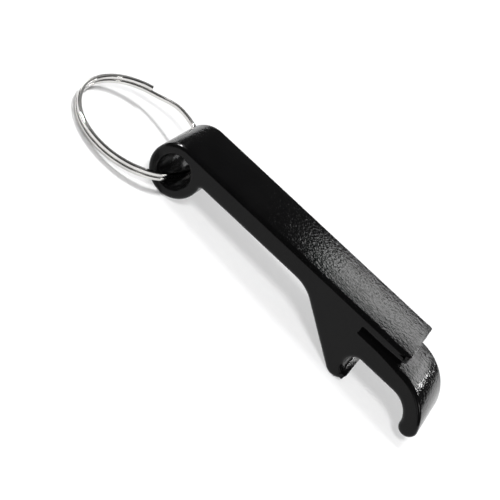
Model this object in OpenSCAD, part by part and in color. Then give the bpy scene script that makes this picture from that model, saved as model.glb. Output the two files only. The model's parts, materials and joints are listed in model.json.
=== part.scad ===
// Keychain bottle opener with a split ring.
//
// One extruded aluminium lever, 11.7 mm wide, has the same side outline over
// its whole width: a round eye, a flat handle bar, a cap-lifting prong with a
// round channel behind its lip, and a hooked jaw. A thin slot above the jaw
// takes a can's ring pull. A split ring, coiled from one flat wire, hangs in
// the eye. The opener lies on its eye and its prong, so its bar rises a little
// towards the jaw, and the ring leans out of the eye on to the same surface.
//
// Units are millimetres. The outline is drawn in the lever's own plane, with
// its origin on the eye's axis, x along the bar and z square to it. The whole
// part is then turned to lie on z = 0, its box centred on the origin.

/* [Lever] */
// width of the extrusion, from side face to side face
lever_w = 11.7; // [8:0.1:16]
// outer radius of the eye
eye_r = 4.15; // [3:0.05:6]
// radius of the eye's through bore
bore_r = 2.5; // [1.8:0.05:3.5]
// bar's underside, above the eye's axis
bar_low = 0.92; // [0.2:0.02:2]
// far end of the bar's plate, from the eye's axis
plate_end = 41.9; // [36:0.1:48]
// bevel that breaks every outer edge of the side faces
edge_c = 0.5; // [0.2:0.05:0.9]

/* [Prong] */
// where the bar's underside would meet the prong's slope
slope_x = 24.5; // [20:0.1:28]
// tip circle's centre along the bar
tip_x = 35.4; // [32:0.1:38]
// tip circle's centre below the eye's axis
tip_drop = 4.75; // [3:0.05:7]
// tip circle's radius
tip_r = 1.95; // [1.2:0.05:3]
// blend radius between the bar and the prong
blend_r = 6.0; // [3:0.5:12]
// channel behind the lip: its axis along the bar
channel_x = 37.3; // [35:0.1:40]
// channel's axis below the eye's axis
channel_drop = 3.43; // [2:0.01:5]
// channel's radius
channel_r = 1.72; // [1:0.01:3]

/* [Jaw] */
// jaw's underside, below the eye's axis
jaw_low = 1.71; // [1:0.01:3]
// jaw's top face, which is also the slot's floor
jaw_top = 1.4; // [0.8:0.05:2]
// hook's inner arc: its axis along the bar
inner_x = 43.2; // [40:0.1:46]
// hook's inner radius
inner_r = 4.0; // [2.5:0.1:6]
// hook's outer arc: its axis along the bar
outer_x = 42.2; // [40:0.1:46]
// hook's outer radius
outer_r = 8.0; // [6:0.1:11]
// hook tip's axis below the eye's axis
hook_drop = 4.5; // [3:0.1:7]

/* [Slot] */
// closed end of the ring-pull slot
slot_x = 34.0; // [32:0.1:38]
// slot's height
slot_h = 1.3; // [0.9:0.05:2]
// corner radius of its closed end
slot_r = 0.3; // [0.1:0.05:0.55]

/* [Split ring] */
// ring's outer diameter
ring_d = 20.2; // [16:0.1:32]
// wire's width, across the ring's plane
wire_w = 0.64; // [0.5:0.02:2]
// wire's height, along the ring's axis
wire_h = 0.7; // [0.4:0.02:1.5]
// gap between the two coils
coil_gap = 0.08; // [0.05:0.01:0.3]
// slope of the ring's plane along the bar, in the lever's plane
lean_x = 1.75; // [-10:0.05:20]
// slope of the ring's plane across the bar
lean_y = 6.9; // [-15:0.1:15]

/* [Hidden] */
$fn = 96;

lever_black = [0.06, 0.06, 0.065];
ring_steel = [0.78, 0.78, 0.79];
eps = 0.01;
bar_top = eye_r;
// the angle of the surface that touches both the eye and the prong's tip
rest_a = atan2(tip_drop, tip_x) - asin((eye_r - tip_r) / norm([tip_x, tip_drop]));
// the prong's slope, which starts at slope_x and touches the tip circle
slope_d = [tip_x - slope_x, -tip_drop - bar_low];
slope_a = -atan2(slope_d[1], slope_d[0]) + asin(tip_r / norm(slope_d));
// the hook tip's circle fills the gap between the hook's two arcs
inner_drop = jaw_low + inner_r;
outer_drop = outer_r - jaw_top;
hook_in = inner_x + sqrt(inner_r ^ 2 - (inner_drop - hook_drop) ^ 2);
hook_out = outer_x + sqrt(outer_r ^ 2 - (outer_drop - hook_drop) ^ 2);
hook_r = (hook_out - hook_in) / 2;
hook_x = (hook_out + hook_in) / 2;
// the split ring's centre, in the lever's plane, and its coil
ring_pos = [-8.97, -0.70, -1.20];
coil_r = (ring_d - wire_w) / 2;
coil_rise = (wire_h + coil_gap) / 2;
coil_start = 113.6;
coil_end = 770;
step_from = 440;
step_to = 471;
coil_step = 5;
// the box's centre, from the eye's axis
box_x = 15.57;
box_y = -0.734;

// a prism of a side outline, w wide and centred on the lever's middle plane
module slab(w) {
    rotate([90, 0, 0])
        linear_extrude(w, center = true)
            children();
}

// a disc across the lever with both rims bevelled
module bevel_disc(p, r, w = lever_w, c = edge_c) {
    translate([p[0], 0, p[1]])
        rotate([90, 0, 0]) {
            cylinder(h = w - 2 * c, r = r, center = true);
            for (s = [0, 1])
                mirror([0, 0, s])
                    translate([0, 0, w / 2 - c])
                        cylinder(h = c, r1 = r, r2 = r - c);
        }
}

// a hole across the lever with both rims bevelled
module bevel_hole(p, r, c) {
    translate([p[0], 0, p[1]])
        rotate([90, 0, 0]) {
            cylinder(h = lever_w + 4, r = r, center = true);
            for (s = [0, 1])
                mirror([0, 0, s])
                    translate([0, 0, lever_w / 2 - c])
                        cylinder(h = c + 1, r1 = r, r2 = r + c + 1);
        }
}

// a bar along x with its four long edges bevelled
module bevel_bar(x0, x1, z0, z1, c = edge_c) {
    h = lever_w / 2;
    translate([x0, 0, 0])
        rotate([90, 0, 90])
            linear_extrude(x1 - x0)
                polygon([
                    [-h, z0 + c], [-h + c, z0], [h - c, z0], [h, z0 + c],
                    [h, z1 - c], [h - c, z1], [-h + c, z1], [-h, z1 - c]
                ]);
}

// the prong's convex outline, drawn in by c
module prong_outline(c = 0) {
    translate([tip_x, -tip_drop])
        circle(r = tip_r - c, $fn = 48);
    up = [-cos(slope_a), sin(slope_a)];
    off = [-sin(slope_a), -cos(slope_a)] * -c;
    a = [slope_x, bar_low] + up * 2.2 + off;
    polygon([
        a, [slope_x, bar_low] + off, [tip_x, -tip_drop],
        [channel_x + 0.05, -tip_drop - 0.35], [channel_x + 0.05, 0.4], [channel_x + 0.05, 2.1]
    ]);
}

module prong() {
    hull() {
        slab(lever_w - 2 * edge_c)
            prong_outline();
        slab(lever_w)
            prong_outline(edge_c);
    }
}

// the round blend from the bar's underside into the prong
module bar_blend() {
    t = blend_r * tan(slope_a / 2);
    c0 = [slope_x - t, bar_low - blend_r];
    e = [slope_x, bar_low] + [cos(slope_a), -sin(slope_a)] * t;
    difference() {
        slab(lever_w)
            polygon([
                [c0[0], bar_low], [c0[0], bar_low + 1.2], [slope_x + 1.4, bar_low + 1.2],
                e + [sin(slope_a), cos(slope_a)] * 1.2, e
            ]);
        bevel_hole(c0, blend_r, edge_c);
    }
}

// the small round blend from the eye into the bar's underside
module eye_blend() {
    r = 0.6;
    cx = sqrt((eye_r + r) ^ 2 - (bar_low - r) ^ 2);
    difference() {
        slab(lever_w - 2 * edge_c)
            polygon([[3.2, 0.2], [cx - 0.55, 0.2], [cx, 0.4], [cx, 1.6], [3.2, 1.6]]);
        translate([cx, 0, bar_low - r])
            rotate([90, 0, 0])
                cylinder(h = lever_w + 2, r = r, center = true);
    }
}

// the hook between its two arcs, with the round tip
module hook() {
    difference() {
        bevel_disc([outer_x, -outer_drop], outer_r);
        bevel_hole([inner_x, -inner_drop], inner_r, edge_c);
        // keep only the quarter above the tip's axis and beyond the jaw
        translate([outer_x - 20, 0, -25 - hook_drop])
            cube([80, lever_w + 6, 50], center = true);
        translate([outer_x - 20, 0, 0])
            cube([40, lever_w + 6, 80], center = true);
    }
    bevel_disc([hook_x, -hook_drop], hook_r);
}

// the ring-pull slot, closed at x = slot_x and open past the plate's end
module slot_cut() {
    slab(lever_w + 4) {
        translate([slot_x + slot_r, jaw_top])
            square([plate_end - slot_x + 6, slot_h]);
        translate([slot_x, jaw_top + slot_r])
            square([slot_r + 1, slot_h - 2 * slot_r]);
        for (z = [slot_r, slot_h - slot_r])
            translate([slot_x + slot_r, jaw_top + z])
                circle(r = slot_r, $fn = 32);
    }
}

// bevels on the plate's free end: its top edge and its two corners
module plate_end_cuts() {
    k = edge_c * sqrt(2);
    translate([plate_end, 0, bar_top])
        rotate([0, 45, 0])
            cube([k, lever_w + 4, k], center = true);
    for (s = [-1, 1])
        translate([plate_end, s * lever_w / 2, bar_top])
            rotate([0, 0, 45])
                cube([k, k, 2 * (bar_top - jaw_top)], center = true);
}

module lever() {
    difference() {
        union() {
            bevel_disc([0, 0], eye_r);
            bevel_bar(0, plate_end, bar_low, bar_top);
            eye_blend();
            bar_blend();
            prong();
            // the jaw arm, whose edges are only broken from the slot's mouth on
            bevel_bar(slot_x - 3, outer_x + eps, -jaw_low, jaw_top);
            slab(lever_w)
                translate([slot_x - 6, -jaw_low + 1.2])
                    square([10.6, jaw_top + jaw_low - 1.2]);
            hook();
        }
        slot_cut();
        plate_end_cuts();
        bevel_hole([0, 0], bore_r, 0.35);
        bevel_hole([channel_x, -channel_drop], channel_r, 0.3);
    }
}

// height of the wire's middle above the ring's middle plane, at angle a
function smooth(t) = t <= 0 ? 0 : t >= 1 ? 1 : t * t * (3 - 2 * t);
function coil_z(a) = coil_rise * (1 - 2 * smooth((a - step_from) / (step_to - step_from)));
// the wire's section: a flat oblong with broken corners, u outward and v up
wire_c = 0.16;
wire_section = [
    [wire_w / 2, -wire_h / 2 + wire_c], [wire_w / 2, wire_h / 2 - wire_c],
    [wire_w / 2 - wire_c, wire_h / 2], [-wire_w / 2 + wire_c, wire_h / 2],
    [-wire_w / 2, wire_h / 2 - wire_c], [-wire_w / 2, -wire_h / 2 + wire_c],
    [-wire_w / 2 + wire_c, -wire_h / 2], [wire_w / 2 - wire_c, -wire_h / 2]
];

// the coil: the section carried along a two-level circle
module coil() {
    n = ceil((coil_end - coil_start) / coil_step);
    m = len(wire_section);
    pts = [
        for (i = [0 : n])
            let (a = coil_start + (coil_end - coil_start) * i / n)
                for (s = wire_section)
                    [(coil_r + s[0]) * cos(a), (coil_r + s[0]) * sin(a), coil_z(a) + s[1]]
    ];
    sides = [
        for (i = [0 : n - 1], j = [0 : m - 1])
            let (k = (j + 1) % m)
                each [
                    [i * m + j, i * m + k, (i + 1) * m + k],
                    [i * m + j, (i + 1) * m + k, (i + 1) * m + j]
                ]
    ];
    caps = [
        [for (j = [m - 1 : -1 : 0]) j],
        [for (j = [0 : m - 1]) n * m + j]
    ];
    polyhedron(points = pts, faces = concat(sides, caps), convexity = 6);
}

// from the lever's plane to the part's own frame
module laid_down() {
    translate([-box_x, -box_y, eye_r])
        rotate([0, -rest_a, 0])
            children();
}

module opener_body() {
    color(lever_black)
        laid_down()
            lever();
}

module split_ring() {
    color(ring_steel)
        laid_down()
            translate(ring_pos)
                rotate([lean_y, -lean_x, 0])
                    coil();
}

opener_body();
split_ring();
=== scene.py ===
"""Keychain bottle opener: the finished looks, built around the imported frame.

The opener is one cut from an extruded aluminium bar, tumbled to round its sawn edges and then
coated in satin black. A split ring, coiled from bright wire, hangs in its eye. Both pieces are
drawn in the lever's own plane, in millimetres: the origin is on the eye's axis, x runs along the
bar and z is square to it. The frame says where that plane lies.
"""

import json
import logging
import math
from dataclasses import dataclass, field
from enum import Enum
from typing import Callable

import bmesh
import bpy
from mathutils import Matrix, Vector

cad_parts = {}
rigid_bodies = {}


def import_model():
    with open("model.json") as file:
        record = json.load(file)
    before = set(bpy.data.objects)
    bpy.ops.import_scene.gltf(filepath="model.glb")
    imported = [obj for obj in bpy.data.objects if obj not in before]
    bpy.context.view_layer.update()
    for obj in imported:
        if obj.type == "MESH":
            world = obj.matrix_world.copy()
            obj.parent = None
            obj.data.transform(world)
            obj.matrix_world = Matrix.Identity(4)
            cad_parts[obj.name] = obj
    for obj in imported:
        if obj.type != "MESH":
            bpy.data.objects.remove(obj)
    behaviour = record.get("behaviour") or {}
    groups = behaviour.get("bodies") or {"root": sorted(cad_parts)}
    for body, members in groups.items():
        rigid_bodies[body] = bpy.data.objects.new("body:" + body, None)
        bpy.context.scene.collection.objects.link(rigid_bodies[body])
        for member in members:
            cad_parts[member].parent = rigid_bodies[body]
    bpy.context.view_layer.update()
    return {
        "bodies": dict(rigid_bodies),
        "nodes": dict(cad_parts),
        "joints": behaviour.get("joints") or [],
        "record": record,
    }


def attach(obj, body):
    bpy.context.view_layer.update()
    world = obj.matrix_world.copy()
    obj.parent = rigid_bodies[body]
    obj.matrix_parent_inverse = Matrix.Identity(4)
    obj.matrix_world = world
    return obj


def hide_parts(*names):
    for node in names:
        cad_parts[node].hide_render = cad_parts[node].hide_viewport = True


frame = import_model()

MM = 0.001
SHARP_ANGLE = 38.0
MIX_FACTOR, MIX_FIRST, MIX_SECOND, MIX_RESULT = 0, 6, 7, 2  # a colour Mix node's sockets
LOG = logging.getLogger("bottle_opener")


class Body(Enum):
    """The frame's moving bodies."""

    OPENER = "opener"
    RING = "ring"


class Slot(Enum):
    """The record's material slots."""

    COAT = "black_aluminium"
    STEEL = "ring_steel"


class Side(Enum):
    """The lever's two sawn side faces, by the sign of y."""

    NEAR = -1
    FAR = 1


class Reach(Enum):
    """What a studio panel acts on."""

    ALL = "everything"
    RING_LIT = "lights the ring alone, and only the ring shades it"
    RING_SHADOW = "shaded by the ring alone"


@dataclass(frozen=True)
class Placement:
    """Where the lever's plane lies in the frame.

    Attributes:
        eye: the eye's centre, in metres.
        tilt: how far the bar rises towards the jaw, in radians.
    """

    eye: Vector
    tilt: float

    @classmethod
    def from_frame(cls, packed: dict) -> "Placement":
        """Reads the ring's hinge and the handle's flat top.


        Returns:
            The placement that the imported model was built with.
        """
        hinge = packed["joints"][0]
        top = next(m for m in packed["record"]["mounts"] if m["name"] == "handle_top")
        return cls(Vector(hinge["pos_m"]), math.atan2(-top["axis"][0], top["axis"][2]))

    def matrix(self) -> Matrix:
        """From the lever's plane, in millimetres, to the frame, in metres."""
        return (
            Matrix.Translation(self.eye)
            @ Matrix.Rotation(-self.tilt, 4, "Y")
            @ Matrix.Scale(MM, 4)
        )


# ---------------------------------------------------------------- node groups


class Effects:
    """The shader node groups that the finishes share, each built once."""

    def __init__(self) -> None:
        """Builds the three groups."""
        self.grain = self._grain()
        self.drift = self._drift()
        self.scuffs = self._scuffs()

    @staticmethod
    def _group(name: str, inputs: dict[str, float], outputs: tuple[str, ...]) -> bpy.types.NodeTree:
        """Starts a group with a Vector input, number inputs and number outputs.

        Args:
            name: the group's name.
            inputs: each number input and its default.
            outputs: the outputs' names.

        Returns:
            The group with its sockets and its two end nodes.
        """
        tree = bpy.data.node_groups.new(name, "ShaderNodeTree")
        tree.interface.new_socket("Vector", in_out="INPUT", socket_type="NodeSocketVector")
        for label, value in inputs.items():
            socket = tree.interface.new_socket(label, in_out="INPUT", socket_type="NodeSocketFloat")
            socket.default_value = value
        for label in outputs:
            tree.interface.new_socket(label, in_out="OUTPUT", socket_type="NodeSocketFloat")
        tree.nodes.new("NodeGroupInput").name = "in"
        tree.nodes.new("NodeGroupOutput").name = "out"
        return tree

    @staticmethod
    def _noise(tree: bpy.types.NodeTree, detail: float, rough: float) -> bpy.types.Node:
        """Adds a noise texture on the group's Vector.

        Args:
            tree: the group.
            detail: octaves.
            rough: how strong the finer octaves are.

        Returns:
            The noise node.
        """
        node = tree.nodes.new("ShaderNodeTexNoise")
        node.inputs["Detail"].default_value = detail
        node.inputs["Roughness"].default_value = rough
        tree.links.new(tree.nodes["in"].outputs["Vector"], node.inputs["Vector"])
        return node

    @staticmethod
    def maths(
        tree: bpy.types.NodeTree, operation: str, first: object, second: object
    ) -> bpy.types.NodeSocket:
        """Adds a Math node.

        Args:
            tree: the group.
            operation: what the node does.
            first: a socket or a number.
            second: a socket or a number.

        Returns:
            The node's result.
        """
        node = tree.nodes.new("ShaderNodeMath")
        node.operation = operation
        for place, value in enumerate((first, second)):
            if isinstance(value, (int, float)):
                node.inputs[place].default_value = value
            else:
                tree.links.new(value, node.inputs[place])
        return node.outputs[0]

    def _grain(self) -> bpy.types.NodeTree:
        """The leathery skin of a satin coat: broad soft dimples with fine grit on them."""
        tree = self._group("satin_grain", {"Scale": 3000.0, "Grit": 0.4}, ("Height",))
        source = tree.nodes["in"].outputs
        dimples = self._noise(tree, 1.0, 0.5)
        dimples.inputs["Distortion"].default_value = 0.6
        grit = self._noise(tree, 1.0, 0.5)
        tree.links.new(source["Scale"], dimples.inputs["Scale"])
        finer = self.maths(tree, "MULTIPLY", source["Scale"], 2.3)
        tree.links.new(finer, grit.inputs["Scale"])
        part = self.maths(tree, "MULTIPLY", grit.outputs[0], source["Grit"])
        total = self.maths(tree, "ADD", dimples.outputs[0], part)
        tree.links.new(total, tree.nodes["out"].inputs["Height"])
        return tree

    def _drift(self) -> bpy.types.NodeTree:
        """A slow change over a surface, from 0 to 1."""
        tree = self._group("tone_drift", {"Scale": 120.0, "Contrast": 1.0}, ("Value",))
        source = tree.nodes["in"].outputs
        cloud = self._noise(tree, 3.0, 0.5)
        tree.links.new(source["Scale"], cloud.inputs["Scale"])
        centred = self.maths(tree, "SUBTRACT", cloud.outputs[0], 0.5)
        spread = self.maths(tree, "MULTIPLY", centred, source["Contrast"])
        tree.links.new(self.maths(tree, "ADD", spread, 0.5), tree.nodes["out"].inputs["Value"])
        return tree

    def _scuffs(self) -> bpy.types.NodeTree:
        """Sparse hairlines: the thin crossings of a stretched noise."""
        tree = self._group("fine_scuffs", {"Scale": 900.0, "Width": 0.012}, ("Mask",))
        source = tree.nodes["in"].outputs
        lines = self._noise(tree, 1.0, 0.4)
        tree.links.new(source["Scale"], lines.inputs["Scale"])
        off = self.maths(tree, "SUBTRACT", lines.outputs[0], 0.5)
        near = self.maths(tree, "ABSOLUTE", off, 0.0)
        mask = self.maths(tree, "LESS_THAN", near, source["Width"])
        tree.links.new(mask, tree.nodes["out"].inputs["Mask"])
        return tree


class Shader:
    """A material under construction: one Principled BSDF and what feeds it."""

    def __init__(self, name: str) -> None:
        """Starts a node material.

        Args:
            name: the material's name.
        """
        self.material = bpy.data.materials.new(name)
        self.material.use_nodes = True
        self.tree = self.material.node_tree
        self.bsdf = self.tree.nodes["Principled BSDF"]

    def value(self, socket: str, number: object) -> None:
        """Sets one of the Principled BSDF's own sockets."""
        self.bsdf.inputs[socket].default_value = number

    def coordinates(self, stretch: tuple[float, float, float] = (1, 1, 1)) -> bpy.types.NodeSocket:
        """Object coordinates, stretched.

        Args:
            stretch: the Mapping node's scale.

        Returns:
            The mapped vector.
        """
        spot = self.tree.nodes.new("ShaderNodeTexCoord")
        return self.mapped(spot.outputs["Object"], stretch)

    def mapped(
        self, source: bpy.types.NodeSocket, stretch: tuple[float, float, float]
    ) -> bpy.types.NodeSocket:
        """Sends a vector through a Mapping node.

        Args:
            source: the vector.
            stretch: its scale along each axis.

        Returns:
            The mapped vector.
        """
        node = self.tree.nodes.new("ShaderNodeMapping")
        node.inputs["Scale"].default_value = stretch
        self.tree.links.new(source, node.inputs["Vector"])
        return node.outputs[0]

    def attribute(self, name: str, output: str = "Fac") -> bpy.types.NodeSocket:
        """Reads one of the piece's own attributes.

        Args:
            name: the attribute's name.
            output: which of the node's outputs.

        Returns:
            That output.
        """
        node = self.tree.nodes.new("ShaderNodeAttribute")
        node.attribute_name = name
        return node.outputs[output]

    def effect(
        self, group: bpy.types.NodeTree, vector: bpy.types.NodeSocket, **settings: float
    ) -> bpy.types.NodeSocket:
        """Places a shared effect.

        Args:
            group: one of the Effects groups.
            vector: what it varies over.
            **settings: its number inputs, by name.

        Returns:
            The effect's output.
        """
        node = self.tree.nodes.new("ShaderNodeGroup")
        node.node_tree = group
        self.tree.links.new(vector, node.inputs["Vector"])
        for label, number in settings.items():
            node.inputs[label].default_value = number
        return node.outputs[0]

    def ramp(self, source: object, low: float, high: float) -> bpy.types.NodeSocket:
        """Maps 0..1 on to low..high.

        Args:
            source: the socket to map.
            low: the result at 0.
            high: the result at 1.

        Returns:
            The mapped number.
        """
        node = self.tree.nodes.new("ShaderNodeMapRange")
        node.inputs["To Min"].default_value = low
        node.inputs["To Max"].default_value = high
        self.tree.links.new(source, node.inputs["Value"])
        return node.outputs[0]

    def times(self, first: bpy.types.NodeSocket, second: object) -> bpy.types.NodeSocket:
        """Multiplies two numbers, the second of which may be a plain one."""
        return Effects.maths(self.tree, "MULTIPLY", first, second)

    def plus(self, first: bpy.types.NodeSocket, second: object) -> bpy.types.NodeSocket:
        """Adds two numbers, the second of which may be a plain one."""
        return Effects.maths(self.tree, "ADD", first, second)

    def blend(
        self,
        mask: bpy.types.NodeSocket,
        first: tuple[float, float, float],
        second: tuple[float, float, float],
    ) -> bpy.types.NodeSocket:
        """Mixes two colours by a mask.

        Args:
            mask: 0 gives the first, 1 the second.
            first: a linear colour.
            second: a linear colour.

        Returns:
            The mixed colour.
        """
        node = self.tree.nodes.new("ShaderNodeMix")
        node.data_type = "RGBA"
        node.inputs[MIX_FIRST].default_value = (*first, 1)
        node.inputs[MIX_SECOND].default_value = (*second, 1)
        self.tree.links.new(mask, node.inputs[MIX_FACTOR])
        return node.outputs[MIX_RESULT]

    def feed(self, socket: str, source: bpy.types.NodeSocket) -> None:
        """Links a socket of the Principled BSDF."""
        self.tree.links.new(source, self.bsdf.inputs[socket])

    def bump(self, height: bpy.types.NodeSocket, depth: float) -> None:
        """Feeds the normal from a height.

        Args:
            height: the height, about 0 to 1.
            depth: what a height of 1 stands for, in metres.
        """
        node = self.tree.nodes.new("ShaderNodeBump")
        node.inputs["Distance"].default_value = depth
        node.inputs["Strength"].default_value = 1.0
        self.tree.links.new(height, node.inputs["Height"])
        self.feed("Normal", node.outputs[0])


# ------------------------------------------------------------------- finishes


@dataclass(frozen=True)
class BlackCoat:
    """Satin black over aluminium: leathery on the extruded skin, plain on the sawn faces."""

    black: tuple[float, float, float] = (0.0018, 0.0018, 0.0019)
    worn: tuple[float, float, float] = (0.0040, 0.0040, 0.0042)
    gloss: float = 0.175
    skin_rough: float = 0.13
    sawn_rough: float = 0.22
    rough_drift: float = 0.02
    scuff_rough: float = 0.02
    sawn_relief: float = 0.1
    grain_scale: float = 2000.0
    grain_depth: float = 0.000038

    def material(self, effects: Effects) -> bpy.types.Material:
        """Builds the material.

        Args:
            effects: the shared node groups.

        Returns:
            The finished material.
        """
        look = Shader("satin_black_coat")
        spot = look.coordinates()
        skin = look.attribute("skin")
        drift = look.effect(effects.drift, spot, Scale=160.0, Contrast=1.6)
        scuffs = look.effect(
            effects.scuffs, look.coordinates((1.0, 0.3, 1.0)), Scale=260.0, Width=0.0015
        )
        look.feed("Base Color", look.blend(drift, self.black, self.worn))
        rough = look.ramp(skin, self.sawn_rough, self.skin_rough)
        rough = look.plus(rough, look.ramp(drift, -self.rough_drift, self.rough_drift))
        look.feed("Roughness", look.plus(rough, look.times(scuffs, self.scuff_rough)))
        look.value("Specular IOR Level", self.gloss)
        look.value("IOR", 1.5)
        grain = look.effect(effects.grain, spot, Scale=self.grain_scale, Grit=0.25)
        relief = look.times(grain, look.ramp(skin, self.sawn_relief, 1.0))
        look.bump(relief, self.grain_depth)
        return look.material


@dataclass(frozen=True)
class BrightSteel:
    """Nickel-plated spring wire: mirror-bright, with drawing lines along the wire."""

    plate: tuple[float, float, float] = (0.78, 0.77, 0.75)
    dulled: tuple[float, float, float] = (0.60, 0.59, 0.575)
    rough: float = 0.10
    line_depth: float = 0.0000035

    def material(self, effects: Effects) -> bpy.types.Material:
        """Builds the material.

        Args:
            effects: the shared node groups.

        Returns:
            The finished material.
        """
        look = Shader("nickel_plated_wire")
        run = look.attribute("wire_run", "Vector")
        drift = look.effect(effects.drift, look.coordinates(), Scale=300.0, Contrast=1.8)
        lines = look.effect(
            effects.grain, look.mapped(run, (0.02, 1.0, 1.0)), Scale=9000.0, Grit=0.5
        )
        look.feed("Base Color", look.blend(drift, self.plate, self.dulled))
        look.value("Metallic", 1.0)
        look.feed("Roughness", look.plus(look.ramp(drift, -0.03, 0.04), self.rough))
        look.bump(lines, self.line_depth)
        return look.material


@dataclass(frozen=True)
class PaleTable:
    """A matt white table with a very slight tooth."""

    white: tuple[float, float, float] = (0.93, 0.93, 0.93)
    shade: tuple[float, float, float] = (0.90, 0.90, 0.905)

    def material(self, effects: Effects) -> bpy.types.Material:
        """Builds the material.

        Args:
            effects: the shared node groups.

        Returns:
            The finished material.
        """
        look = Shader("pale_table")
        spot = look.coordinates()
        drift = look.effect(effects.drift, spot, Scale=600.0, Contrast=1.4)
        look.feed("Base Color", look.blend(drift, self.white, self.shade))
        look.value("Roughness", 0.9)
        look.value("Specular IOR Level", 0.1)
        return look.material


# --------------------------------------------------------------------- shapes


class OutlinePen:
    """Draws a run of edges in the plane y = 0 with extrusions and spins of one vertex."""

    def __init__(self, mesh: bmesh.types.BMesh, start: tuple[float, float]) -> None:
        """Puts the pen down.

        Args:
            mesh: what it draws in.
            start: the first point, as (x, z).
        """
        self.mesh = mesh
        self.first = mesh.verts.new((start[0], 0, start[1]))
        self.tip = self.first

    def line(self, end: tuple[float, float], pieces: int = 1) -> bmesh.types.BMVert:
        """Draws a straight line.

        Args:
            end: where it ends, as (x, z).
            pieces: how many edges it is made of.

        Returns:
            The vertex at its end.
        """
        step = (Vector((end[0], 0, end[1])) - self.tip.co) / pieces
        for _ in range(pieces):
            made = bmesh.ops.extrude_vert_indiv(self.mesh, verts=[self.tip])["verts"]
            bmesh.ops.translate(self.mesh, verts=made, vec=step)
            self.tip = made[0]
        return self.tip

    def arc(
        self, centre: tuple[float, float], turn: float, step: float = 6.0
    ) -> bmesh.types.BMVert:
        """Spins the pen's tip about a point.

        Args:
            centre: the arc's centre, as (x, z).
            turn: its angle in degrees, from +x towards +z.
            step: the longest piece, in degrees.

        Returns:
            The vertex at its end.
        """
        made = bmesh.ops.spin(
            self.mesh,
            geom=[self.tip],
            cent=(centre[0], 0, centre[1]),
            axis=(0, -1, 0),
            angle=math.radians(turn),
            steps=max(1, math.ceil(abs(turn) / step)),
            use_duplicate=False,
        )["geom_last"]
        self.tip = next(g for g in made if isinstance(g, bmesh.types.BMVert))
        return self.tip

    def close(self) -> None:
        """Joins the tip to the start."""
        if (self.tip.co - self.first.co).length < 1e-4:
            bmesh.ops.pointmerge(
                self.mesh, verts=[self.first, self.tip], merge_co=self.first.co
            )
        else:
            bmesh.ops.contextual_create(self.mesh, geom=[self.tip, self.first])


def finish_mesh(
    mesh: bmesh.types.BMesh, name: str, matrix: Matrix, material: bpy.types.Material
) -> bpy.types.Object:
    """Places a mesh in the frame and links it as an object at the origin.

    Args:
        mesh: the finished shape, which is freed.
        name: the piece's name.
        matrix: from the mesh's units to the frame.
        material: its material.

    Returns:
        The new object.
    """
    bmesh.ops.transform(mesh, matrix=matrix, verts=mesh.verts)
    bmesh.ops.recalc_face_normals(mesh, faces=mesh.faces)
    for face in mesh.faces:
        face.smooth = True
    data = bpy.data.meshes.new(name)
    mesh.to_mesh(data)
    mesh.free()
    data.set_sharp_from_angle(angle=math.radians(SHARP_ANGLE))
    data.materials.append(material)
    piece = bpy.data.objects.new(name, data)
    bpy.context.scene.collection.objects.link(piece)
    return piece


@dataclass(frozen=True)
class RimLayers:
    """What each vertex of an outline carries while its rims are rounded.

    Attributes:
        base: the outline's own point.
        inward: the mitred way into the metal.
        radius: the rim's rounding there.
        skin: 1 on the extruded skin, 0 on the sawn faces.
    """

    base: bmesh.types.BMLayerItem
    inward: bmesh.types.BMLayerItem
    radius: bmesh.types.BMLayerItem
    skin: bmesh.types.BMLayerItem

    @classmethod
    def add_to(cls, mesh: bmesh.types.BMesh) -> "RimLayers":
        """Adds the layers to a mesh."""
        vectors, numbers = mesh.verts.layers.float_vector, mesh.verts.layers.float
        for name in ("base", "inward"):
            vectors.new(name)
        for name in ("radius", "skin"):
            numbers.new(name)
        return cls(vectors["base"], vectors["inward"], numbers["radius"], numbers["skin"])


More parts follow.
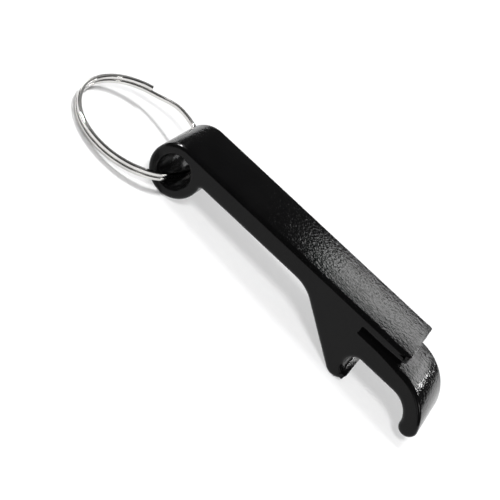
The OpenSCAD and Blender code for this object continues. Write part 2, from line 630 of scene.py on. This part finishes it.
@dataclass
class Lever:
    """The extruded opener: eye, handle bar, prong, jaw, hook and ring-pull slot, in millimetres."""

    placement: Placement
    width: float = 11.7
    eye_r: float = 4.15
    bore_r: float = 2.5
    bar_low: float = 0.92
    plate_end: float = 41.9
    slope_x: float = 24.5
    tip: tuple[float, float] = (35.4, -4.75)
    tip_r: float = 1.95
    blend_r: float = 6.0
    eye_blend_r: float = 0.6
    channel: tuple[float, float] = (37.3, -3.43)
    channel_r: float = 1.72
    jaw_low: float = -1.71
    jaw_top: float = 1.4
    inner: tuple[float, float] = (43.2, -5.71)
    inner_r: float = 4.0
    outer: tuple[float, float] = (42.2, -6.6)
    outer_r: float = 8.0
    hook_drop: float = -4.5
    slot_x: float = 34.0
    slot_top: float = 2.7
    slot_r: float = 0.3
    rim_r: float = 0.73
    bore_rim_r: float = 0.45
    slot_rim_r: float = 0.05
    slot_sill_r: float = 0.16
    slot_roof_end_r: float = 0.55
    slot_narrow: float = 3.6
    slot_flare: float = 1.3
    rim_steps: int = 7
    corner_r: float = 0.22

    def build(self, material: bpy.types.Material) -> bpy.types.Object:
        """Makes the whole lever.

        Args:
            material: its coat.

        Returns:
            The piece, in place.
        """
        mesh = bmesh.new()
        layers = RimLayers.add_to(mesh)
        self._outline(mesh)
        self._bore(mesh)
        self._aim_inward(mesh, layers)
        rim = list(mesh.edges)
        for side in Side:
            self._side(mesh, rim, side, layers)
        return finish_mesh(mesh, "opener_coated_body", self.placement.matrix(), material)

    def _outline(self, mesh: bmesh.types.BMesh) -> None:
        """Draws the side outline as edges, with its sharp corners broken.

        Args:
            mesh: an empty mesh.
        """
        blend_z = self.bar_low - self.eye_blend_r
        blend = (math.sqrt((self.eye_r + self.eye_blend_r) ** 2 - blend_z**2), blend_z)
        touch = math.degrees(math.atan2(blend[1], blend[0]))
        pen = OutlinePen(mesh, (0.0, self.eye_r))
        pen.arc((0.0, 0.0), 270 + touch, 4.0)
        pen.arc(blend, -(90 + touch), 15.0)
        slope = self._slope()
        half = self.blend_r * math.tan(slope / 2)
        pen.line((self.slope_x - half, self.bar_low), 12)
        pen.arc((self.slope_x - half, self.bar_low - self.blend_r), -math.degrees(slope), 3.0)
        toe = (
            self.tip[0] - self.tip_r * math.sin(slope),
            self.tip[1] - self.tip_r * math.cos(slope),
        )
        pen.line(toe, 6)
        lip = self._lip()
        lip_angle = math.degrees(math.atan2(lip[1] - self.tip[1], lip[0] - self.tip[0]))
        pen.arc(self.tip, lip_angle + 90 + math.degrees(slope), 6.0)
        corners = [pen.tip]
        back = math.degrees(math.atan2(lip[1] - self.channel[1], lip[0] - self.channel[0]))
        pen.arc(self.channel, 90 - back % 360, 6.0)
        pen.line((self.inner[0], self.jaw_low), 4)
        self._hook(pen)
        pen.line((self.plate_end, self.jaw_top), 1)
        pen.line((self.slot_x + self.slot_r, self.jaw_top), 14)
        pen.arc((self.slot_x + self.slot_r, self.jaw_top + self.slot_r), -90, 15.0)
        pen.line((self.slot_x, self.slot_top - self.slot_r))
        pen.arc((self.slot_x + self.slot_r, self.slot_top - self.slot_r), -90, 15.0)
        corners.append(pen.line((self.plate_end, self.slot_top), 14))
        corners.append(pen.line((self.plate_end, self.eye_r)))
        pen.line((0.0, self.eye_r), 24)
        pen.close()
        bmesh.ops.bevel(
            mesh, geom=corners, offset=self.corner_r, offset_type="OFFSET", segments=4,
            profile=0.5, affect="VERTICES", clamp_overlap=True, material=-1,
        )

    def _slope(self) -> float:
        """How steeply the prong falls, in radians."""
        along = self.tip[0] - self.slope_x
        down = self.bar_low - self.tip[1]
        return math.atan2(down, along) + math.asin(self.tip_r / math.hypot(along, down))

    def _lip(self) -> tuple[float, float]:
        """Where the tip's circle and the channel's circle cross, under the lip."""
        reach = Vector(self.channel) - Vector(self.tip)
        gap = reach.length
        along = (self.tip_r**2 - self.channel_r**2 + gap**2) / (2 * gap)
        off = math.sqrt(self.tip_r**2 - along**2)
        unit = reach / gap
        spot = Vector(self.tip) + unit * along + Vector((unit.y, -unit.x)) * off
        return spot.x, spot.y

    def _hook(self, pen: OutlinePen) -> None:
        """Draws the hook: the inner arc, the round tip and the outer arc.

        Args:
            pen: the pen, at the inner arc's start.
        """
        inside = math.asin((self.hook_drop - self.inner[1]) / self.inner_r)
        outside = math.asin((self.hook_drop - self.outer[1]) / self.outer_r)
        left = self.inner[0] + self.inner_r * math.cos(inside)
        right = self.outer[0] + self.outer_r * math.cos(outside)
        pen.arc(self.inner, math.degrees(inside) - 90, 4.0)
        pen.arc(((left + right) / 2, self.hook_drop), 180, 8.0)
        pen.arc(self.outer, 90 - math.degrees(outside), 2.5)

    def _bore(self, mesh: bmesh.types.BMesh) -> None:
        """Draws the eye's bore as a ring of edges."""
        bmesh.ops.create_circle(
            mesh, segments=72, radius=self.bore_r, matrix=Matrix.Rotation(math.pi / 2, 4, "X")
        )

    def _rim_at(self, spot: Vector) -> float:
        """The rounding of the side faces' edge at a point of the outline.

        Args:
            spot: the point.

        Returns:
            The radius, in millimetres.
        """
        if math.hypot(spot.x, spot.z) < self.bore_r + 0.1:
            return self.bore_rim_r
        level = self.jaw_top - 0.05 < spot.z < self.slot_top + 0.05
        if not (level and spot.x > self.slot_x - 0.1):
            return self.rim_r
        open_x = self.slot_x + self.slot_narrow
        share = min(max((spot.x - open_x) / (self.plate_end + 0.6 - open_x), 0.0), 1.0)
        sill = spot.z < self.jaw_top + 0.25
        narrow = self.slot_sill_r if sill else self.slot_rim_r
        wide = self.rim_r if sill else self.slot_roof_end_r
        return narrow + (wide - narrow) * share**self.slot_flare

    def _aim_inward(self, mesh: bmesh.types.BMesh, layers: RimLayers) -> None:
        """Stores at each vertex its place, its rim's radius and the mitred way into the metal.

        Args:
            mesh: the outline and the bore.
            layers: where they are stored.
        """
        for vert in mesh.verts:
            vert[layers.base] = vert.co
            vert[layers.radius] = self._rim_at(vert.co)
            vert[layers.skin] = 1.0
        bore = {v for v in mesh.verts if math.hypot(v.co.x, v.co.z) < self.bore_r + 0.1}
        for vert in bore:
            vert[layers.inward] = vert.co.normalized()
        start = max((v for v in mesh.verts if v not in bore), key=lambda v: v.co.x)
        loop, last = [start], None
        while True:
            here = loop[-1]
            ahead = [e.other_vert(here) for e in here.link_edges if e.other_vert(here) is not last]
            step = max(ahead, key=lambda v: v.co.z) if last is None else ahead[0]
            if step is start:
                break
            last = here
            loop.append(step)
        # the walk climbs from the hook's far side, so the metal is on its left
        for place, vert in enumerate(loop):
            before = (vert.co - loop[place - 1].co).normalized()
            after = (loop[(place + 1) % len(loop)].co - vert.co).normalized()
            one = Vector((-before.z, 0, before.x))
            two = Vector((-after.z, 0, after.x))
            vert[layers.inward] = (one + two) / (1 + one.dot(two))

    def _side(
        self,
        mesh: bmesh.types.BMesh,
        rim: list[bmesh.types.BMEdge],
        side: Side,
        layers: RimLayers,
    ) -> None:
        """Extrudes the outline to one side, rounds its rim and closes the sawn face.

        Args:
            mesh: the lever.
            rim: the outline's and the bore's edges, at the middle of the width.
            side: which way to go.
            layers: what each vertex of the outline carries.
        """
        edges = rim
        levels = [math.pi / 2 * k / self.rim_steps for k in range(self.rim_steps + 1)]
        for level in [*levels, None]:
            made = bmesh.ops.extrude_edge_only(mesh, edges=edges)["geom"]
            edges = [g for g in made if isinstance(g, bmesh.types.BMEdge)]
            for vert in (g for g in made if isinstance(g, bmesh.types.BMVert)):
                radius = vert[layers.radius]
                turned = math.pi / 2 if level is None else level
                guard = 0.05 if level is None else 0.0
                drawn = radius * (1 - math.cos(turned)) + guard
                vert.co = vert[layers.base] + vert[layers.inward] * drawn
                vert.co.y = side.value * (self.width / 2 - radius * (1 - math.sin(turned)))
                vert[layers.skin] = max(0.0, 1.0 - turned / (math.pi / 4))
        bmesh.ops.triangle_fill(
            mesh, use_beauty=True, use_dissolve=False, edges=edges, normal=(0, side.value, 0)
        )


@dataclass
class SplitRing:
    """The coiled split ring, in millimetres and in its own plane."""

    placement: Placement
    centre: tuple[float, float, float] = (-8.97, -0.70, -1.20)
    lean_x: float = 1.75
    lean_y: float = 6.9
    outer_d: float = 20.2
    wire_w: float = 0.64
    wire_h: float = 0.70
    wire_round: float = 0.2
    gap: float = 0.08
    run_r: float = 0.35
    end_draw: float = 0.06
    end_shrink: float = 0.82
    start: float = 113.6
    end: float = 770.0
    step_from: float = 440.0
    step_to: float = 471.0
    degrees: float = 3.0

    def build(self, material: bpy.types.Material) -> bpy.types.Object:
        """Makes the ring.

        Args:
            material: its plating.

        Returns:
            The piece, in place.
        """
        mesh = bmesh.new()
        run = mesh.verts.layers.float_vector.new("wire_run")
        section = self._section(mesh, run)
        turns = math.ceil((self.end - self.start) / self.degrees)
        step = (self.end - self.start) / turns
        middle = (self.outer_d - self.wire_w) / 2
        for count in range(turns):
            angle = self.start + count * step
            section = bmesh.ops.spin(
                mesh,
                geom=section,
                cent=(0, 0, 0),
                axis=(0, 0, 1),
                dvec=(0, 0, self._height(angle + step) - self._height(angle)),
                angle=math.radians(step),
                steps=1,
                use_duplicate=False,
            )["geom_last"]
            along = math.radians((count + 1) * step) * middle * MM
            for vert in (g for g in section if isinstance(g, bmesh.types.BMVert)):
                vert[run].x = along
        self._cut_end(mesh, section)
        tilt = (
            Matrix.Translation(self.centre)
            @ Matrix.Rotation(-math.radians(self.lean_x), 4, "Y")
            @ Matrix.Rotation(math.radians(self.lean_y), 4, "X")
        )
        return finish_mesh(mesh, "split_ring_coil", self.placement.matrix() @ tilt, material)

    def _height(self, angle: float) -> float:
        """The wire's middle above the ring's middle plane.

        Args:
            angle: how far round the coil, in degrees.

        Returns:
            The height, in millimetres.
        """
        share = min(max((angle - self.step_from) / (self.step_to - self.step_from), 0.0), 1.0)
        smooth = share * share * (3 - 2 * share)
        return (self.wire_h + self.gap) / 2 * (1 - 2 * smooth)

    def _section(self, mesh: bmesh.types.BMesh, run: bmesh.types.BMLayerItem) -> list:
        """Draws the wire's section at the coil's start and closes it as the cut end.

        Args:
            mesh: an empty mesh.
            run: the layer for the way along and around the wire, in metres.

        Returns:
            The section's vertices and edges.
        """
        bmesh.ops.create_grid(mesh, x_segments=1, y_segments=1, size=0.5)
        bmesh.ops.scale(mesh, vec=(self.wire_w, self.wire_h, 1), verts=mesh.verts)
        bmesh.ops.bevel(
            mesh, geom=list(mesh.verts), offset=self.wire_round, offset_type="OFFSET",
            segments=4, profile=0.5, affect="VERTICES", clamp_overlap=True, material=-1,
        )
        for vert in mesh.verts:
            around = math.atan2(vert.co.y, vert.co.x) * self.run_r * MM
            vert[run] = (0.0, around, 0.0)
        place = (
            Matrix.Rotation(math.radians(self.start), 4, "Z")
            @ Matrix.Translation(((self.outer_d - self.wire_w) / 2, 0, self._height(self.start)))
            @ Matrix.Rotation(math.pi / 2, 4, "X")
        )
        bmesh.ops.transform(mesh, matrix=place, verts=mesh.verts)
        loop = list(mesh.verts) + list(mesh.edges)
        cap = list(mesh.faces)
        bmesh.ops.delete(mesh, geom=cap, context="FACES_ONLY")
        inset = bmesh.ops.extrude_edge_only(mesh, edges=list(mesh.edges))["geom"]
        self._shrink_cap(mesh, inset, -1)
        return loop

    def _cut_end(self, mesh: bmesh.types.BMesh, section: list) -> None:
        """Closes the coil's far end with a broken edge.

        Args:
            mesh: the coil.
            section: its last section.
        """
        edges = [g for g in section if isinstance(g, bmesh.types.BMEdge)]
        inset = bmesh.ops.extrude_edge_only(mesh, edges=edges)["geom"]
        self._shrink_cap(mesh, inset, 1)

    def _shrink_cap(self, mesh: bmesh.types.BMesh, geom: list, way: int) -> None:
        """Draws an extruded end section in and forward, and fills it.

        Args:
            mesh: the coil.
            geom: what the extrusion made.
            way: 1 at the coil's end, -1 at its start.
        """
        verts = [g for g in geom if isinstance(g, bmesh.types.BMVert)]
        edges = [g for g in geom if isinstance(g, bmesh.types.BMEdge)]
        middle = sum((v.co for v in verts), Vector()) / len(verts)
        along = Vector((-middle.y, middle.x, 0)).normalized() * way * self.end_draw
        for vert in verts:
            vert.co = middle + (vert.co - middle) * self.end_shrink + along
        bmesh.ops.contextual_create(mesh, geom=edges)


# --------------------------------------------------------------------- studio


@dataclass(frozen=True)
class Panel:
    """A soft studio panel.

    Attributes:
        name: the light's name.
        place: its centre, in metres.
        aim: the point it faces, in metres.
        size: its width and height, in metres.
        glow: its brightness.
        mirrored: whether glossy surfaces show it.
        lights: whether it lights matt surfaces.
        reach: what it acts on.
    """

    name: str
    place: tuple[float, float, float]
    aim: tuple[float, float, float]
    size: tuple[float, float]
    glow: float
    mirrored: bool = True
    lights: bool = True
    reach: Reach = Reach.ALL

    def build(self, ring_group: bpy.types.Collection) -> bpy.types.Object:
        """Makes the light and turns it to its aim.

        Args:
            ring_group: the collection that holds the ring.

        Returns:
            The light.
        """
        data = bpy.data.lights.new(self.name, "AREA")
        data.shape = "RECTANGLE"
        data.size, data.size_y = self.size
        data.energy = self.glow * math.pi * self.size[0] * self.size[1]
        light = bpy.data.objects.new(self.name, data)
        turn = (Vector(self.aim) - Vector(self.place)).to_track_quat("-Z", "Z")
        light.matrix_world = Matrix.Translation(self.place) @ turn.to_matrix().to_4x4()
        light.visible_glossy = self.mirrored
        light.visible_diffuse = self.lights
        light.visible_camera = False
        if self.reach is Reach.RING_LIT:
            light.light_linking.receiver_collection = ring_group
        if self.reach is not Reach.ALL:
            light.light_linking.blocker_collection = ring_group
        bpy.context.scene.collection.objects.link(light)
        return light


@dataclass
class Studio:
    """The table, the panels, the surroundings and the camera."""

    effects: Effects
    ring: bpy.types.Object
    camera_place: tuple[float, float, float] = (0.005871, -0.162898, 0.095504)
    camera_azimuth: float = -2.211
    camera_elevation: float = 29.946
    camera_roll: float = 45.658
    lens: float = 93.67
    ambient: float = 0.16
    backdrop: float = 1.0
    room_low: float = 0.05
    room_high: float = 0.02
    panels: tuple[Panel, ...] = field(
        default_factory=lambda: (
            Panel(
                "key_front", (0.0, -2.56, 3.008), (0.0, 0.0, 0.0),
                (0.80, 0.80), 29.0, mirrored=False,
            ),
            Panel(
                "overhead", (0.0, 0.24, 3.6), (0.0, 0.0, 0.0),
                (0.80, 0.80), 10.0, mirrored=False,
            ),
            Panel(
                "overhead_ring", (-0.3, 1.5, 3.3), (0.0, 0.0, 0.0), (0.60, 0.60), 76.0,
                mirrored=False, reach=Reach.RING_SHADOW,
            ),
            Panel(
                "back_panel", (0.036, 0.173, 0.101), (0.036, 0.0, 0.005),
                (0.078, 0.036), 4.6, lights=False,
            ),
            Panel(
                "back_right", (0.0935, 0.173, 0.088), (0.03, 0.0, 0.005),
                (0.037, 0.042), 5.2, lights=False,
            ),
            Panel(
                "back_strip", (0.116, 0.166, 0.072), (0.03, 0.0, 0.005),
                (0.007, 0.016), 45.0, lights=False,
            ),
            Panel(
                "left_strip", (-0.196, 0.018, 0.176), (-0.0156, 0.0, 0.004),
                (0.03, 0.03), 400.0, lights=False,
            ),
            Panel(
                "right_panel", (0.26, 0.0, 0.13), (0.03, 0.0, 0.0),
                (0.05, 0.05), 9.0, lights=False,
            ),
            Panel(
                "front_right", (0.16, -0.16, 0.060), (0.0, 0.0, 0.0),
                (0.10, 0.04), 2.0, lights=False,
            ),
            Panel(
                "far_left", (-0.17, 0.15, 0.105), (0.0, 0.0, 0.0),
                (0.09, 0.05), 2.5, lights=False,
            ),
            Panel(
                "ring_card", (-0.107, 0.217, 0.194), (-0.0245, 0.0, 0.003), (0.16, 0.16), 0.30,
                lights=False, reach=Reach.RING_LIT,
            ),
        )
    )

    def build(self) -> None:
        """Makes everything that isn't part of the object."""
        self._table()
        ring_group = bpy.data.collections.new("ring_group")
        ring_group.objects.link(self.ring)
        for panel in self.panels:
            panel.build(ring_group)
        self._surroundings()
        self._camera()
        bpy.context.scene.view_settings.view_transform = "Standard"

    def _table(self) -> None:
        """Lays the table's top at z = 0."""
        mesh = bmesh.new()
        bmesh.ops.create_grid(mesh, x_segments=8, y_segments=8, size=3.0)
        white = PaleTable().material(self.effects)
        table = finish_mesh(mesh, "table_top", Matrix.Identity(4), white)

    def _surroundings(self) -> None:
        """Sets a pale room that polished surfaces mirror as a dim one, as black flags make it."""
        world = bpy.data.worlds.new("studio")
        world.use_nodes = True
        bpy.context.scene.world = world
        tree = world.node_tree
        path = tree.nodes.new("ShaderNodeLightPath")
        way = tree.nodes.new("ShaderNodeTexCoord")
        split = tree.nodes.new("ShaderNodeSeparateXYZ")
        tree.links.new(way.outputs["Generated"], split.inputs[0])
        rise = self._range(tree, split.outputs["Z"], self.room_low, self.room_high)
        rise.inputs["From Min"].default_value = 0.45
        matt = self._range(tree, path.outputs["Is Glossy Ray"], self.ambient, 0.0)
        tree.links.new(rise.outputs[0], matt.inputs["To Max"])
        seen = self._range(tree, path.outputs["Is Camera Ray"], 0.0, self.backdrop)
        tree.links.new(matt.outputs[0], seen.inputs["To Min"])
        back = tree.nodes["Background"]
        back.inputs["Color"].default_value = (1, 1, 1, 1)
        tree.links.new(seen.outputs[0], back.inputs["Strength"])

    @staticmethod
    def _range(
        tree: bpy.types.NodeTree, source: bpy.types.NodeSocket, low: float, high: float
    ) -> bpy.types.Node:
        """Adds a node that maps 0..1 on to low..high.

        Args:
            tree: the world's nodes.
            source: what it maps.
            low: the result at 0.
            high: the result at 1.

        Returns:
            The Map Range node.
        """
        node = tree.nodes.new("ShaderNodeMapRange")
        node.inputs["To Min"].default_value = low
        node.inputs["To Max"].default_value = high
        tree.links.new(source, node.inputs["Value"])
        return node

    def _camera(self) -> None:
        """Stands the camera in front of the opener, tipped so that it runs across the picture."""
        data = bpy.data.cameras.new("camera")
        data.lens = self.lens
        data.sensor_width = 36.0
        data.clip_start = 0.01
        camera = bpy.data.objects.new("camera", data)
        azimuth, elevation = math.radians(self.camera_azimuth), math.radians(self.camera_elevation)
        camera.matrix_world = (
            Matrix.Translation(self.camera_place)
            @ Matrix.Rotation(-azimuth, 4, "Z")
            @ Matrix.Rotation(math.pi / 2 - elevation, 4, "X")
            @ Matrix.Rotation(math.radians(self.camera_roll), 4, "Z")
        )
        bpy.context.scene.collection.objects.link(camera)
        bpy.context.scene.camera = camera


def report(piece: bpy.types.Object) -> None:
    """Logs a piece's name and how many faces it has."""
    LOG.info("%s: %d faces", piece.name, len(piece.data.polygons))


def main() -> None:
    """Builds the opener, the ring and the studio."""
    logging.basicConfig(level=logging.INFO, format="%(name)s: %(message)s")
    effects = Effects()
    placement = Placement.from_frame(frame)

    lever = Lever(placement).build(BlackCoat().material(effects))
    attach(lever, Body.OPENER.value)
    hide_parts("opener_body")
    report(lever)

    ring = SplitRing(placement).build(BrightSteel().material(effects))
    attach(ring, Body.RING.value)
    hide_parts("split_ring")
    report(ring)

    Studio(effects, ring).build()


if __name__ == "__main__":
    main()
